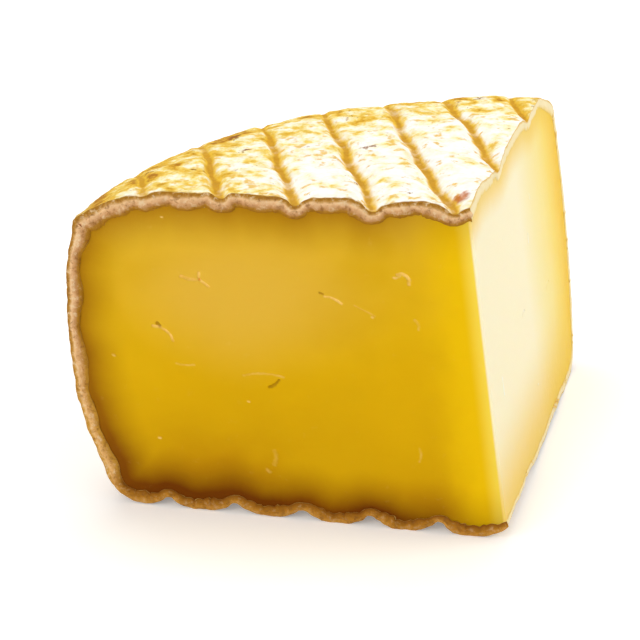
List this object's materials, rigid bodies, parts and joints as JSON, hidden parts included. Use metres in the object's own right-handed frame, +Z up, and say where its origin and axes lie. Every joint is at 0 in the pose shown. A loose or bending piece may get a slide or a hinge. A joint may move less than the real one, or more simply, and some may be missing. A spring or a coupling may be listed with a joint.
{
  "type": "quarter wheel of hard cheese",
  "caption": "Quarter of a pressed sheep's milk cheese wheel lying flat, with two cut faces of golden paste, a mottled natural rind and rack grooves in its top and foot.",
  "frame": {"origin": "centre of the bounding box's base, on the surface that the cheese lies on", "axes": "+Z up out of the cheese's flat top; the upright cut face looks along -Y and the leaning cut face along +X; the curved rind side looks to -X and +Y"},
  "size_m": [0.125, 0.129, 0.0928],
  "materials": {
    "paste": "smooth knife-cut pressed paste, golden, slightly translucent, with a soft satin sheen",
    "rind": "dry brushed natural rind, cream and golden with brown and grey-mauve mottling, matt and finely pitted"
  },
  "bodies": {
    "root": {"quarter_wheel": "paste"}
  },
  "joints": []
}
